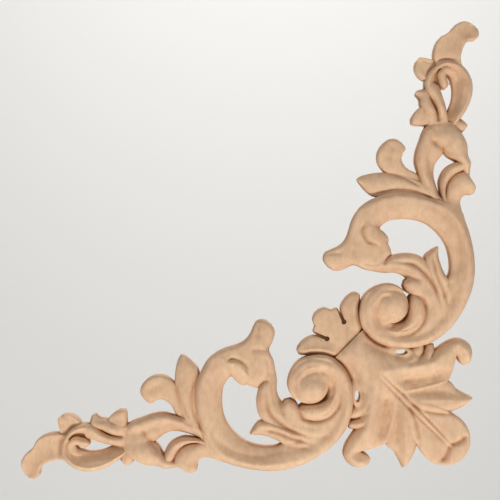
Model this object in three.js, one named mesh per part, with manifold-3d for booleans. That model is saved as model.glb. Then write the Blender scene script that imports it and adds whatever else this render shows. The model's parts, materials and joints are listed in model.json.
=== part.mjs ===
import * as THREE from "three";
import { mergeVertices } from "three/addons/utils/BufferGeometryUtils.js";
import Module from "manifold-3d";

const wasm = await Module();
wasm.setup();

// Driving sizes in millimetres.
const LEG_LENGTH = 240;
const FULL_THICKNESS = 17;
const ORIGIN_INSET = 48;
const STATION_STEP = 6.5;
const BACK_OVERRUN = 1;
const NARROW = 9.2;
const EDGE_SHARE = 0.16;
const EDGE_DROP_SHARE = 0.55;
const DOME_ROWS = [-0.985, -0.87, -0.5, 0, 0.5, 0.87, 0.985];
const SAME_POINT = 1e-5;

// The rows below are drawn in units, so many to the leg and so many to the full thickness.
const LEG_UNIT_COUNT = 240;
const THICKNESS_UNIT_COUNT = 17;
const SCALE = LEG_LENGTH / LEG_UNIT_COUNT;
const DEPTH_SCALE = FULL_THICKNESS / THICKNESS_UNIT_COUNT;

// The side arm is carved a little longer and droops past the outer line.
const DRIFT_START = 70;
const DRIFT_SPAN = 165;
const DRIFT_LONGER = 2.8;
const DRIFT_DROOP = 2.6;

// The slits beside the rear leaf's centre, their round ends, and the small hole under each volute.
const SLIT_WIDTH = 1.8;
const SLIT_FLOOR = 2;
const SLIT_END_RADIUS = 1.35;
const GAP_HALF_LENGTH = 3.2;
const GAP_HALF_WIDTH = 1.45;
const CUT_SIDES = 10;
const CUT_REACH = 3 * FULL_THICKNESS;
const BEHIND_WIDTH = 3 * LEG_LENGTH;

// A leaf is drawn by rows across it. Each row holds one point on the first edge, one on the
// second edge, the height of the ridge above the back and, if not 1, the share of the section's
// fall. Points are units in from the upright outer line and up from the level outer line.
// A section holds the ridge's place from -1 to 1 and the fall and its kind on either side.
const ROUND = [0, 3.2, "round", 3.2, "round"];
const HOLLOW = [0, -1.4, "round", -1.4, "round"];
const NEARLY_FLAT = [0, 0.8, "round", 0.8, "round"];

// Keeps an element's section, edge and rows, brought from the drawing's units to millimetres.
function leaf(section, edgeRadius, rows) {
  const [ridge, firstFall, firstKind, secondFall, secondKind] = section;
  return {
    section: [ridge, firstFall * DEPTH_SCALE, firstKind, secondFall * DEPTH_SCALE, secondKind],
    edgeDrop: edgeRadius * EDGE_DROP_SHARE * DEPTH_SCALE,
    rows: rows.map(rowInMillimetres),
  };
}

function rowInMillimetres([a1, b1, a2, b2, height, fallShare = 1]) {
  return [...drawnPoint(a1, b1), ...drawnPoint(a2, b2), height * DEPTH_SCALE, fallShare];
}

function drawnPoint(a, b) {
  return [a * SCALE, b * SCALE];
}

// A low round boss with its top at one height and its rim at another.
function dome(a, b, radius, top, edge) {
  const rows = [];
  for (const along of DOME_ROWS) {
    const share = 1 - along * along;
    const reach = radius * Math.sqrt(share);
    const side = b + radius * along;
    rows.push([a - reach, side, a + reach, side, edge + (top - edge) * share, share]);
  }
  const fall = top - edge;
  return leaf([0, fall, "round", fall, "round"], 0, rows);
}

// The end of an arm: the bent tip leaf and the flared leaf beside it.
function armEnd() {
  const tipLeaf = leaf(HOLLOW, 1.6, [
    [21, 211, 7, 209, 8],
    [22.7, 218, 8.7, 216.5, 8.5],
    [20.3, 226, 6, 224, 8.5],
    [15, 229.5, 3.5, 225.8, 8.5],
    [12, 233, 0.5, 226.2, 8],
    [7.5, 235.3, -0.9, 228, 7.5],
    [3.5, 234.6, -0.9, 230, 7],
    [1, 233, -0.2, 231.6, 7],
  ]);
  const flaredLeaf = leaf(HOLLOW, 1.2, [
    [23.5, 205, 18.5, 212, 4.5],
    [27.3, 204.8, 22.5, 214.9, 7],
    [30.7, 207.2, 27, 216, 8],
    [32.3, 210.8, 30.3, 216.2, 8],
    [32.2, 213.3, 31.7, 214.7, 7.5],
  ]);
  return [tipLeaf, flaredLeaf];
}

// The small ring with its raised outer rim, and the drop that hangs inside it.
function smallRing() {
  const ring = leaf([0.5, 5.5, "cove", 2.6, "round"], 0.9, [
    [19, 178, 12, 180, 7],
    [15.6, 187.5, 8, 185.5, 10],
    [13, 194, 3.8, 193, 10.5],
    [12.4, 200, 2.3, 200, 10.5],
    [13.7, 205.3, 3.4, 206.5, 10.5],
    [16, 207.5, 8.3, 212.8, 10.5],
    [19, 208, 15.5, 214.8, 10.5],
    [20.2, 206.2, 22.5, 211.5, 11],
    [19.7, 203, 26.8, 206, 11],
    [18.9, 199.5, 27.2, 201, 10.6],
    [18, 195.7, 25.2, 197.5, 9.2],
  ]);
  const leg = leaf([0.4, 3.4, "round", 2.6, "round"], 0.9, [
    [19.3, 202, 26.8, 204, 9.2],
    [18.8, 199, 27.2, 200.3, 10.7],
    [17.2, 194, 24.8, 196, 11],
    [15.6, 188, 21.2, 189.5, 10.5],
    [15, 182, 20, 183, 9],
    [16, 176, 20, 177, 7],
  ]);
  const drop = leaf([0.2, 3, "round", 1.4, "round"], 1.2, [
    [13.2, 203, 9, 203, 5.2],
    [14, 206.2, 9.8, 209.5, 7.4],
    [16.2, 207, 16.3, 212, 9.5],
    [15.6, 205, 20.6, 208.4, 10.5],
    [14.8, 203, 19.9, 203.9, 10.5],
    [15.2, 201.4, 18.9, 201.5, 10],
    [16.3, 200.3, 17.6, 200.3, 9],
  ]);
  return [ring, leg, drop];
}

// The strands and lobes where the small ring crosses the stem.
function crossing() {
  const strand = leaf(ROUND, 1, [
    [32, 197.4, 31, 199.6, 7.5],
    [30, 195, 26, 200.2, 9],
    [29.6, 192, 23, 193.5, 10.5],
    [27.8, 188, 20.8, 189, 11],
    [26.5, 183.5, 20.1, 183.5, 9.5],
    [27.5, 178.5, 20.8, 179, 7.5],
  ]);
  const sideLobe = leaf(NEARLY_FLAT, 1.4, [
    [23, 181, 24, 190, 7],
    [29, 181.2, 29, 191, 8.6],
    [32.5, 181.4, 32.1, 188.4, 8.8],
    [34.1, 182, 34.3, 184.8, 8.3],
  ]);
  const bud = leaf(ROUND, 1.2, [
    [13, 185.2, 13, 176.4, 7.2],
    [8, 184.7, 8, 177.1, 8],
    [6, 183.4, 6.1, 178.7, 7.6],
    [4.8, 182, 4.9, 180.2, 7],
  ]);
  return [strand, sideLobe, bud];
}

// The stem's loop and the two lobes that close it.
function stemLoop() {
  const leftLimb = leaf([-0.35, 3.2, "round", 4.2, "round"], 1.2, [
    [25, 182.3, 15, 183.5, 7.5],
    [28, 178.5, 14, 178.5, 11.3],
    [29.8, 173.5, 14.5, 171, 12],
    [31.7, 168, 17.8, 166.2, 11.5],
    [32.3, 162, 21.8, 160.5, 11],
    [31, 157, 22.3, 155, 10.5],
    [29, 150, 21, 149.5, 10],
    [25, 143, 18.5, 144.5, 9],
    [19, 136, 13, 140, 8],
  ]);
  const rightLimb = leaf([0.1, 4.2, "round", 3.6, "round"], 1, [
    [18, 183.5, 9.8, 181.6, 7.5],
    [20.3, 177.5, 7.7, 176.7, 11.8],
    [19.3, 170.5, 5.3, 171, 12.5],
    [15.3, 165, 4.8, 165.5, 12],
    [10.6, 162, 3.2, 161.5, 11.5],
    [8.5, 158.5, 3.4, 158, 10],
    [7, 154, 3.6, 154, 8],
  ]);
  const crescent = leaf(ROUND, 0.9, [
    [7, 162.3, 4.4, 160, 9],
    [12.3, 161.6, 8, 156.9, 11],
    [16.8, 158.5, 12, 155, 11],
    [19.6, 152.5, 15.3, 151, 11],
    [19.2, 147, 16.2, 146, 10.5],
    [17.5, 140, 15, 140, 9],
  ]);
  const ballLobe = leaf(ROUND, 1.2, [
    [17, 134, 7.6, 134, 8],
    [17, 144.8, 8.9, 141, 9.5],
    [16, 151, 8, 143.3, 10.5],
    [12, 156.2, 5.5, 144.8, 11],
    [6, 157, 2.6, 144.9, 11],
    [2.5, 152.5, 1, 146.5, 10],
    [1, 150, 0.6, 148, 9],
  ]);
  return [leftLimb, rightLimb, crescent, ballLobe];
}

// The two leaves that lie along the top of the main scroll.
function scrollLeaves() {
  const clubLeaf = leaf(NEARLY_FLAT, 1.8, [
    [40, 148, 24, 146, 7],
    [43.5, 153.5, 30, 155, 7.5],
    [49, 157.6, 36.8, 159, 8],
    [51.8, 162, 39.3, 163.2, 8.5],
    [51.8, 167.3, 38.7, 166.4, 9],
    [49.5, 171.3, 37.2, 168.8, 8.5],
    [46.3, 173.8, 38.7, 171.6, 8],
    [43.8, 174.3, 41.4, 173.7, 7.5],
  ]);
  const longLeaf = leaf([0, 2.4, "round", 2.4, "round"], 1, [
    [22, 146, 15, 139, 8],
    [27, 150.5, 22, 142, 9],
    [34, 153.8, 31, 143.8, 9.5],
    [42, 156, 40.5, 144.8, 9.5],
    [51, 156.5, 48.5, 143.8, 9],
    [57, 155.7, 54.5, 144.3, 8.5],
    [61, 154.5, 58.7, 147.7, 7.5],
    [62.6, 153.2, 61.9, 151.6, 7],
  ]);
  return [clubLeaf, longLeaf];
}

// The main scroll: a band from over the volute ball, round it and up to the hooked end.
function mainScroll() {
  const band = leaf([0.5, 4.2, "round", 3, "round"], 1, [
    [39.5, 92.5, 39, 95.6, 13, 0.3],
    [43.3, 93.5, 45.2, 98.6, 14, 0.4],
    [48, 93, 53, 97.1, 14.5, 0.4],
    [51.5, 90.3, 59, 92.3, 14.5, 0.5],
    [52.7, 86, 61.7, 83, 14.5, 0.6],
    [51.3, 81.5, 59.5, 74.5, 14, 0.9],
    [47.6, 79, 51.5, 67, 13, 1.2],
    [42.6, 79, 40, 64.6, 12.5, 1.2],
    [38, 82, 26, 66.7, 12, 1.1],
    [33, 87, 14, 75.5, 12],
    [26, 93, 6, 87.5, 12],
    [19, 98.5, 2, 99, 12],
    [14.2, 104, 1.5, 110, 12],
    [15.2, 116.5, 3.2, 121, 12],
    [19.5, 123.8, 6, 130, 12],
    [26, 129.4, 9.3, 137.5, 12],
    [33, 131.8, 24, 143.3, 12],
    [41, 132.1, 41, 146.2, 12],
    [47, 130.8, 54, 143, 12],
    [50.8, 127.3, 62.4, 136.2, 12],
    [48.6, 125.3, 60.5, 128, 12],
    [46.2, 122, 57, 121.5, 11.5],
    [46.5, 118.5, 52.5, 117.8, 10.5],
  ]);
  const ball = dome(45.2, 87, 9.1, 17, 12.3);
  const knobSheath = leaf([0.1, 1.6, "round", 2.2, "round"], 2.4, [
    [58, 140, 48, 136, 10],
    [62.4, 136.4, 52, 131.5, 11.6],
    [65.1, 131.9, 51, 126, 11.2],
    [66.7, 126.8, 47, 120.5, 10.8],
    [67.8, 123.4, 44.6, 113, 10.4],
    [69.7, 120.3, 50.5, 105.2, 10.4],
    [72.5, 118, 57.5, 105.4, 10.2],
    [76, 116.4, 64.5, 108, 9.8],
    [79.2, 114.7, 69, 106, 9.4],
    [80.3, 112, 74, 105, 8.8],
    [79.9, 109.8, 77.6, 106.8, 8],
  ]);
  return [band, ball, knobSheath];
}

// The leaf inside the main scroll, rooted in the band beside the volute.
function innerLeaf() {
  const stem = leaf([-0.1, 3, "round", 3, "round"], 0.9, [
    [54, 111, 58, 105.5, 9],
    [48.5, 112, 49, 104, 10],
    [43, 113.7, 43, 104, 11],
    [37, 114.6, 37.5, 101.8, 11.5],
    [30.5, 113.2, 33.5, 96, 12],
    [25, 108.5, 30, 90, 12],
    [20.5, 101, 27, 83, 12],
    [16.5, 92, 25, 76, 11],
    [14, 84, 24, 71, 9],
  ]);
  const tip = leaf([-0.3, 2.4, "round", 3.4, "round"], 0.9, [
    [22, 82, 14, 82, 9],
    [23.5, 92, 13.5, 92, 11.5],
    [25, 101, 14.4, 99.5, 12.5],
    [27.3, 109, 17, 103.5, 12],
    [27, 113.3, 19.2, 109, 11],
    [23.5, 116.3, 19.9, 113, 9.5],
    [20.6, 117.9, 19.8, 116.9, 8],
  ]);
  const roundLobe = leaf(ROUND, 1.2, [
    [26, 82, 21, 90, 11],
    [30.5, 89.5, 26, 98, 12],
    [34.5, 92.6, 31, 101.7, 12.5],
    [37.3, 94.3, 35, 102, 12],
    [38.9, 97, 38, 100.2, 10.5],
  ]);
  const lowLobe = leaf(ROUND, 1, [
    [52, 77.5, 50, 71.5, 11],
    [45, 75.8, 43, 70.6, 12.3],
    [40, 76.2, 36, 72, 12.6],
    [37.6, 79.8, 30, 76.3, 12.8],
    [37, 85.5, 26.8, 84, 12.8],
    [36.6, 90, 28, 89.8, 12.2],
    [35, 92.6, 31, 92.8, 10.5],
  ]);
  return [stem, tip, roundLobe, lowLobe];
}

// One half of the corner leaf: side curl, two tucked lobes and the pointed lobe.
function halfCornerLeaf() {
  const sideCurl = leaf([-0.2, 3.4, "round", 2.6, "round"], 1.2, [
    [60, 68, 57, 50, 9],
    [49, 67, 45, 48, 11.8],
    [38, 65.6, 33.5, 46, 12.5],
    [28.5, 62, 23, 46.5, 12],
    [21.8, 64, 16, 46.8, 11.5],
    [17.5, 66.8, 13.5, 51, 11],
    [13, 69.2, 11.6, 57, 10.5],
    [8.5, 69.8, 10.8, 60.3, 10],
    [4.2, 67.2, 9, 57.3, 10],
    [2.3, 62.5, 7, 55.7, 9.5],
    [2.9, 58.5, 4.7, 56.2, 8.5],
  ]);
  const firstTuck = leaf(ROUND, 0.8, [
    [41, 58, 33, 52, 9],
    [37.5, 61, 29, 56, 10.8],
    [34.5, 64.8, 27, 61, 10.3],
    [31, 66.8, 26.8, 65.8, 8.5],
  ]);
  const secondTuck = leaf(ROUND, 0.8, [
    [34, 54, 26, 50, 9],
    [30, 59, 23.5, 57, 11],
    [28, 63.2, 22, 62.3, 10.2],
    [27, 67, 22.4, 66.8, 8],
  ]);
  const pointedLobe = leaf([0.25, 3, "round", 2.6, "round"], 0.9, [
    [46, 47, 44, 37, 10],
    [33, 47, 34, 34, 12],
    [22, 47.7, 25, 32, 11.5],
    [14.2, 47.4, 15.5, 31.5, 10.8],
    [11, 43.8, 9.8, 33, 10],
    [6, 40.8, 6, 35, 9.3],
    [2.2, 39, 2.5, 37.8, 8],
  ]);
  const rearSideLobe = leaf([0, 1.4, "round", 1.4, "round"], 1.4, [
    [70.5, 64, 62, 68, 6.5],
    [69.5, 74, 59.5, 76.5, 8.8],
    [70.8, 81, 60.6, 84, 9],
    [71.2, 86.5, 60.9, 90.2, 9],
    [68.5, 91.2, 61.4, 93, 8.5],
    [65.3, 93.8, 63.3, 94.2, 7.5],
  ]);
  return [sideCurl, firstTuck, secondTuck, pointedLobe, rearSideLobe];
}

// The parts of the corner leaf that lie across the diagonal.
function cornerMiddle() {
  const endLobe = leaf([0, 1, "round", 1, "round"], 2, [
    [48, 56, 56, 48, 9],
    [36, 46, 46, 36, 12.3],
    [24, 37.5, 37.5, 24, 12],
    [12, 30.2, 30.2, 12, 11],
    [7.3, 26.6, 26.6, 7.3, 10.5],
    [4.1, 21, 21, 4.1, 10],
    [3.8, 13.5, 13.5, 3.8, 9.5],
    [6.2, 8.3, 8.3, 6.2, 9],
  ]);
  const stem = leaf([0, 5.5, "round", 5.5, "round"], 1, [
    [59.4, 74.6, 74.6, 59.4, 11, 0.4],
    [57.6, 73, 73, 57.6, 12, 0.5],
    [53.6, 70.2, 70.2, 53.6, 13, 0.75],
    [47, 67.4, 67.4, 47, 13.5],
    [41, 61, 61, 41, 13.5],
    [36, 52, 52, 36, 12.8],
    [31, 42, 42, 31, 11.6],
    [27, 33, 33, 27, 9.5],
  ]);
  const rearCentre = leaf(NEARLY_FLAT, 1.4, [
    [73, 60.5, 60.5, 73, 9],
    [76, 66, 66, 76, 9],
    [81, 69.7, 69.7, 81, 9],
    [85.7, 73.2, 73.2, 85.7, 8.5],
    [84.9, 76, 76, 84.9, 8.5],
    [86, 79.5, 79.5, 86, 8],
    [84.9, 82.8, 82.8, 84.9, 7.5],
  ]);
  return [endLobe, stem, rearCentre];
}

function mirrored(element, drifts) {
  const rows = [];
  for (const row of element.rows) {
    const [a1, b1, a2, b2, ...rest] = row;
    const [p, q] = drifts ? drifted(b1, a1) : [b1, a1];
    const [r, s] = drifts ? drifted(b2, a2) : [b2, a2];
    rows.push([p, q, r, s, ...rest]);
  }
  return { ...element, rows };
}

function drifted(along, across) {
  const share = Math.max(0, (along - DRIFT_START) / DRIFT_SPAN);
  return [along + DRIFT_LONGER * share, across - DRIFT_DROOP * share];
}

function fallAt(kind, x) {
  if (kind === "cove") {
    return 1 - (1 - x) * (1 - x);
  }
  return x * x;
}

function sectionDrop(section, place) {
  const [ridge, firstFall, firstKind, secondFall, secondKind] = section;
  if (place < ridge) {
    return firstFall * fallAt(firstKind, (ridge - place) / (ridge + 1));
  }
  return secondFall * fallAt(secondKind, (place - ridge) / (1 - ridge));
}

function widest(rows) {
  return Math.max(...rows.map((row) => Math.hypot(row[2] - row[0], row[3] - row[1])));
}

function places(section, width) {
  const ridge = section[0];
  const inner = 1 - EDGE_SHARE;
  if (width < NARROW) {
    return [-1, -inner, ridge, inner, 1];
  }
  return [-1, -inner, (ridge - inner) / 2, ridge, (ridge + inner) / 2, inner, 1];
}

function stationList(rows) {
  const list = [0];
  const spans = rows.length - 1;
  for (let i = 0; i < spans; i += 1) {
    const here = rows[i];
    const next = rows[i + 1];
    const first = Math.hypot(next[0] - here[0], next[1] - here[1]);
    const second = Math.hypot(next[2] - here[2], next[3] - here[3]);
    const pieces = Math.max(1, Math.round(Math.max(first, second) / STATION_STEP));
    for (let j = 1; j <= pieces; j += 1) {
      list.push((i + j / pieces) / spans);
    }
  }
  return list;
}

function edgeCurve(rows, column) {
  const points = rows.map((row) => new THREE.Vector3(row[column], row[column + 1], row[4]));
  return new THREE.CatmullRomCurve3(points, false, "centripetal");
}

function fallShare(rows, along) {
  const x = along * (rows.length - 1);
  const i = Math.min(Math.floor(x), rows.length - 2);
  const here = rows[i][5];
  const next = rows[i + 1][5];
  return here + (next - here) * (x - i);
}

// Brings a plan point to the object's frame: front towards -Y, back at y = 0, up +Z.
function placed(a, b, height) {
  return [ORIGIN_INSET - a, -height, b - ORIGIN_INSET];
}

// The closed solid of one element, run a little past the back so that the cut there is clean.
function elementSolid(element) {
  const { section, edgeDrop, rows } = element;
  const firstEdge = edgeCurve(rows, 0);
  const secondEdge = edgeCurve(rows, 2);
  const across = places(section, widest(rows));
  const points = [];
  for (const along of stationList(rows)) {
    const first = firstEdge.getPoint(along);
    const second = secondEdge.getPoint(along);
    const share = fallShare(rows, along);
    const ring = [];
    for (const place of across) {
      const mix = (place + 1) / 2;
      const spot = first.clone().lerp(second, mix);
      const edgeCut = Math.abs(place) === 1 ? edgeDrop : 0;
      const height = spot.z - sectionDrop(section, place) * share - edgeCut;
      ring.push(placed(spot.x, spot.y, height));
    }
    ring.push(placed(second.x, second.y, -BACK_OVERRUN));
    ring.push(placed(first.x, first.y, -BACK_OVERRUN));
    points.push(ring);
  }
  return closedTube(points);
}

// Joins rings of points into a closed tube. Both ends fan out from a back corner, the last
// point of their ring, because that corner sees the whole ring even where its top is hollow.
function closedTube(rings) {
  const around = rings[0].length;
  const positions = rings.flat();
  const faces = [];
  for (let i = 0; i + 1 < rings.length; i += 1) {
    for (let j = 0; j < around; j += 1) {
      const a = i * around + j;
      const b = i * around + ((j + 1) % around);
      const c = a + around;
      const d = b + around;
      faces.push([a, b, d], [a, d, c]);
    }
  }
  const corner = around - 1;
  const last = (rings.length - 1) * around;
  for (let j = 0; j + 1 < corner; j += 1) {
    faces.push([corner, j + 1, j], [last + corner, last + j, last + j + 1]);
  }
  return solidFrom(positions, faces);
}

function solidFrom(positions, faces) {
  let volume = 0;
  for (const [a, b, c] of faces) {
    const p = new THREE.Vector3(...positions[a]);
    const q = new THREE.Vector3(...positions[b]);
    const r = new THREE.Vector3(...positions[c]);
    volume += p.dot(q.cross(r));
  }
  const outward = volume > 0 ? faces : faces.map(([a, b, c]) => [a, c, b]);
  const vertProperties = new Float32Array(positions.flat());
  const triVerts = new Uint32Array(outward.flat());
  return new wasm.Manifold(new wasm.Mesh({ numProp: 3, vertProperties, triVerts }));
}

function solidOf(geometry) {
  geometry.deleteAttribute("normal");
  geometry.deleteAttribute("uv");
  const merged = mergeVertices(geometry, SAME_POINT);
  const vertProperties = new Float32Array(merged.attributes.position.array);
  const triVerts = new Uint32Array(merged.index.array);
  return new wasm.Manifold(new wasm.Mesh({ numProp: 3, vertProperties, triVerts }));
}

// A slit from the outline inwards with a round inner end, down to a floor above the back.
function slit(flips) {
  const ends = [drawnPoint(73.5, 87.5), drawnPoint(69.6, 78.4)];
  const [from, to] = flips ? ends.map(([a, b]) => [b, a]) : ends;
  const length = Math.hypot(to[0] - from[0], to[1] - from[1]);
  const turn = Math.atan2(to[1] - from[1], from[0] - to[0]);
  const box = new THREE.BoxGeometry(length, CUT_REACH, SLIT_WIDTH);
  box.rotateY(-turn);
  const radius = SLIT_END_RADIUS;
  const round = new THREE.CylinderGeometry(radius, radius, CUT_REACH, CUT_SIDES);
  const middle = placed((from[0] + to[0]) / 2, (from[1] + to[1]) / 2, SLIT_FLOOR);
  const end = placed(to[0], to[1], SLIT_FLOOR);
  box.translate(middle[0], middle[1] - CUT_REACH / 2, middle[2]);
  round.translate(end[0], end[1] - CUT_REACH / 2, end[2]);
  return solidOf(box).add(solidOf(round));
}

// The small oval hole between a volute and the corner leaf.
function gap(flips) {
  const [a, b] = flips ? drawnPoint(62.7, 39.8) : drawnPoint(39.8, 62.7);
  const [across, up] = flips ? [GAP_HALF_WIDTH, GAP_HALF_LENGTH] : [GAP_HALF_LENGTH, GAP_HALF_WIDTH];
  const bore = new THREE.CylinderGeometry(1, 1, CUT_REACH, CUT_SIDES);
  bore.scale(across, 1, up);
  bore.translate(...placed(a, b, 0));
  return solidOf(bore);
}

function appliqueSolid() {
  const arm = [armEnd(), smallRing(), crossing(), stemLoop(), scrollLeaves(), mainScroll()].flat();
  arm.push(...innerLeaf());
  const half = halfCornerLeaf();
  const all = [...arm, ...half, ...cornerMiddle()];
  all.push(...arm.map((element) => mirrored(element, true)));
  all.push(...half.map((element) => mirrored(element, false)));
  const joined = wasm.Manifold.union(all.map(elementSolid));
  const behind = new THREE.BoxGeometry(BEHIND_WIDTH, CUT_REACH, BEHIND_WIDTH);
  behind.translate(0, CUT_REACH / 2, 0);
  let solid = joined.subtract(solidOf(behind));
  for (const flips of [false, true]) {
    solid = solid.subtract(slit(flips));
    solid = solid.subtract(gap(flips));
  }
  return solid;
}

function geometryOf(solid) {
  const mesh = solid.getMesh();
  const geometry = new THREE.BufferGeometry();
  const positions = new Float32Array(mesh.vertProperties);
  geometry.setAttribute("position", new THREE.BufferAttribute(positions, 3));
  geometry.setIndex(Array.from(mesh.triVerts));
  return geometry;
}

function bareWood() {
  return new THREE.MeshStandardMaterial({ name: "bare_wood", color: 0xd9b48c, roughness: 0.75 });
}

const applique = new THREE.Mesh(geometryOf(appliqueSolid()), bareWood());
applique.name = "corner_applique";

const part = new THREE.Group();
part.name = "corner_wood_applique";
part.add(applique);

export default part;
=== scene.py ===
"""A corner wood applique, carved in full over its solid, in plain soft studio light."""
import json
import math

import bmesh
import bpy
import numpy as np
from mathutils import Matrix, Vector

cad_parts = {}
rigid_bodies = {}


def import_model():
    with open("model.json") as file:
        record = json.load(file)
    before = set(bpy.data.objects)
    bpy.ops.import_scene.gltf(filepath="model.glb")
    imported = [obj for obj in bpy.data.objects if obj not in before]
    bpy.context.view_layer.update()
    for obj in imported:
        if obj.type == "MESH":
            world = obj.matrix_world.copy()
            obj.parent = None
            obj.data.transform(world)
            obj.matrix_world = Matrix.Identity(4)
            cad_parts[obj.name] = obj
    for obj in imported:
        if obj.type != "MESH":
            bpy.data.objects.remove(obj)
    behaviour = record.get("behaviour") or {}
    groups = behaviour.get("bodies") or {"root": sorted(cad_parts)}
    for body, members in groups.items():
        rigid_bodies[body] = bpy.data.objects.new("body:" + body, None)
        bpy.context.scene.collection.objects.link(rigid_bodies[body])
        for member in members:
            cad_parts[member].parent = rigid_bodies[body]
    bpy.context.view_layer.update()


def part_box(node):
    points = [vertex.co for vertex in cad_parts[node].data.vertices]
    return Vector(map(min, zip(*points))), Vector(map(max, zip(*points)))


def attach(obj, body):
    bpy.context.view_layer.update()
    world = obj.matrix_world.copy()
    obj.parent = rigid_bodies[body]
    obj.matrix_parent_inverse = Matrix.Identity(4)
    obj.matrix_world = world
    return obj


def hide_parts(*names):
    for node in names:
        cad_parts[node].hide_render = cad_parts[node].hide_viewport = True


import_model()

# Everything is drawn in millimetres from the two outer lines, then scaled to the frame's box.
DRAWN_WIDTH = 239.0
DRAWN_THICKNESS = 17.0
ORIGIN_INSET = 48.0
LOW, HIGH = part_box("corner_applique")
SCALE = (HIGH.x - LOW.x) / DRAWN_WIDTH
DEPTH_SCALE = (HIGH.y - LOW.y) / DRAWN_THICKNESS

# The mesh's steps along and across an element, and how far each solid runs past the back.
STEP_ALONG = 1.0
STEP_ACROSS = 0.76
BACK_OVERRUN = 1.0

# An element has at least this many places across, crowded towards its edges by this share.
FEWEST_ACROSS = 7
EDGE_CROWDING = 0.4

# Where a boss has its rows, as shares of its radius.
DOME_ROWS = (-0.985, -0.87, -0.5, 0, 0.5, 0.87, 0.985)

# The side arm is carved a little longer and droops past the outer line.
DRIFT_START = 70.0
DRIFT_SPAN = 165.0
DRIFT_LONGER = 2.8
DRIFT_DROOP = 2.6

# A section holds the ridge's place from -1 to 1 and the fall and its kind on either side.
ROUND = [0, 3.2, "round", 3.2, "round"]
HOLLOW = [0, -1.4, "round", -1.4, "round"]
NEARLY_FLAT = [0, 0.8, "round", 0.8, "round"]

# The slits beside the rear leaf's centre and the small hole under each volute.
SLIT_WIDTH = 1.8
SLIT_FLOOR = 2.0
SLIT_ENDS = [(73.5, 87.5), (69.6, 78.4)]
SLIT_END_RADIUS = 1.35
GAP_CENTRE = (39.8, 62.7)
GAP_SIZE = (3.2, 1.45)
OVAL_SIDES = 16
CUT_REACH = 3 * DRAWN_WIDTH
CUT_HEIGHT = 2 * DRAWN_THICKNESS

# A crease's line has this many steps between two of its points. Its depth follows a bell with this
# power over its width, out to this many widths, and grows from a share at its ends by this steepness.
CREASE_STEPS = 14
CREASE_POWER = 1.6
CREASE_WIDTHS = 3
CREASE_END_SHARE = 0.15
CREASE_END_STEEPNESS = 4

# Heights over this are carved surface, and edges that bend more than this are shown sharp.
CARVED_FROM = 3.0
SHARP_DEGREES = 50.0

# The mesh is split in rounds until its edges are this short, in metres. That is done where creases
# are at least so deep together and at most so wide, in millimetres.
REFINE_ROUNDS = 2
REFINE_EDGE = 0.00055
REFINE_DEPTH = 0.12
REFINE_WIDEST = 1.6

# The carved heights as a grid, and how far they are evened out, in millimetres.
FIELD_CELL = 0.5
FIELD_MARGIN = 12.0
FINE_REACH = 0.7
FINE_SHARE = 0.35
WIDE_REACH = 2.4

# How far around a place its relief looks, and how much an outline is raised, in millimetres. The
# outline is found by evening the covered cells out over a reach and keeping those above a share.
RELIEF_REACH = 1.2
# The outline is raised only so that the painted crease shade doesn't darken the piece's outer edges.
RELIEF_AT_OUTLINE = 2.5
COVER_REACH = 0.8
COVER_INSIDE = 0.15

# The least share that heights are divided by, and how fast a merge grows inwards from its edge.
LEAST_COVER = 0.001
MERGE_STEEPNESS = 1.4

# The bare wood: its gloss, and its colours at places on a scale from 0 to 1.
WOOD_ROUGHNESS = 0.72
WOOD_GLOSS = 0.25
PALE_WOOD = (0.76, 0.52, 0.33)
PINK_WOOD = (0.71, 0.455, 0.29)
WHITE = (1, 1, 1)
PATCH_COLOURS = [(0.32, PINK_WOOD), (0.66, PALE_WOOD)]
PORE_COLOURS = [(0.33, (0.93, 0.91, 0.88)), (0.5, WHITE)]
PORE_SHARE = 0.8
MOTTLE_COLOURS = [(0.3, (0.9, 0.88, 0.86)), (0.6, WHITE)]
# Painted shade: places lying below their surroundings are darkened in colour, as a shadow would darken the
# creases.
PAINTED_CREASE_SHADE_COLOURS = [
    (0.0, (0.45, 0.3, 0.2)),
    (0.3, (0.77, 0.67, 0.59)),
    (0.5, (0.95, 0.92, 0.89)),
    (0.66, WHITE),
]

# How far below and above its surroundings a place of the carving lies at 0 and at 1 of the painted crease
# shade's scale, in millimetres.
DEEPEST_RELIEF = -1.4
HIGHEST_RELIEF = 1.0

# The wood's patterns: turns per metre along each axis and the detail.
PATCHES = ((60, 60, 34), 3)
PORES = ((1400, 1400, 200), 2)
MOTTLES = ((330, 330, 240), 3)
TOOL_WAVES = ((210, 210, 150), 1)

# Strength and height in metres of what is too fine for the mesh.
PORE_BUMP = (0.25, 0.0002)
TOOL_WAVE_BUMP = (0.35, 0.0012)

# The colour sockets of a mix node, whose names it also gives to other sockets.
MIX_FIRST = 6
MIX_SECOND = 7
MIX_RESULT = 2

# The stage: a floor that starts in front of the piece and bends up into a wall, in metres.
FLOOR_HEIGHT = -1.2
FLOOR_START = -3.0
WALL_DISTANCE = 2.6
WALL_TOP = 4.0
STAGE_HALF_WIDTH = 4.0
COVE_RADIUS = 0.6
COVE_STEPS = 12
STAGE_COLOUR = (0.88, 0.87, 0.85)
STAGE_ROUGHNESS = 0.9

# Each lamp's name, place, width in metres, power in watts and what it is aimed at.
MIDDLE = (LOW + HIGH) / 2
LAMPS = [
    ("key", (0.18, -0.85, -0.8), 0.22, 9.8, MIDDLE),
    ("fill", (-0.9, -1.0, 0.9), 0.9, 3.2, MIDDLE),
    ("rear", (0.6, 1.2, 0.9), 1.2, 14.0, MIDDLE),
    ("stage", (0.0, 1.1, 1.6), 1.6, 24.0, (0.0, 2.6, -0.4)),
]
LAMP_COLOUR = (1.0, 0.98, 0.95)
SKY_COLOUR = (0.95, 0.97, 1.0)
SKY_STRENGTH = 0.42

# The camera's lens and sensor in millimetres, and the share of the frame that the piece fills.
LENS = 85.0
SENSOR = 36.0
FRAME_SHARE = 0.93


def leaf(section, edge_radius, rows):
    """An element: rows of one point on each edge, the ridge's height and a share of the fall."""
    return section, edge_radius, rows


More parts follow.
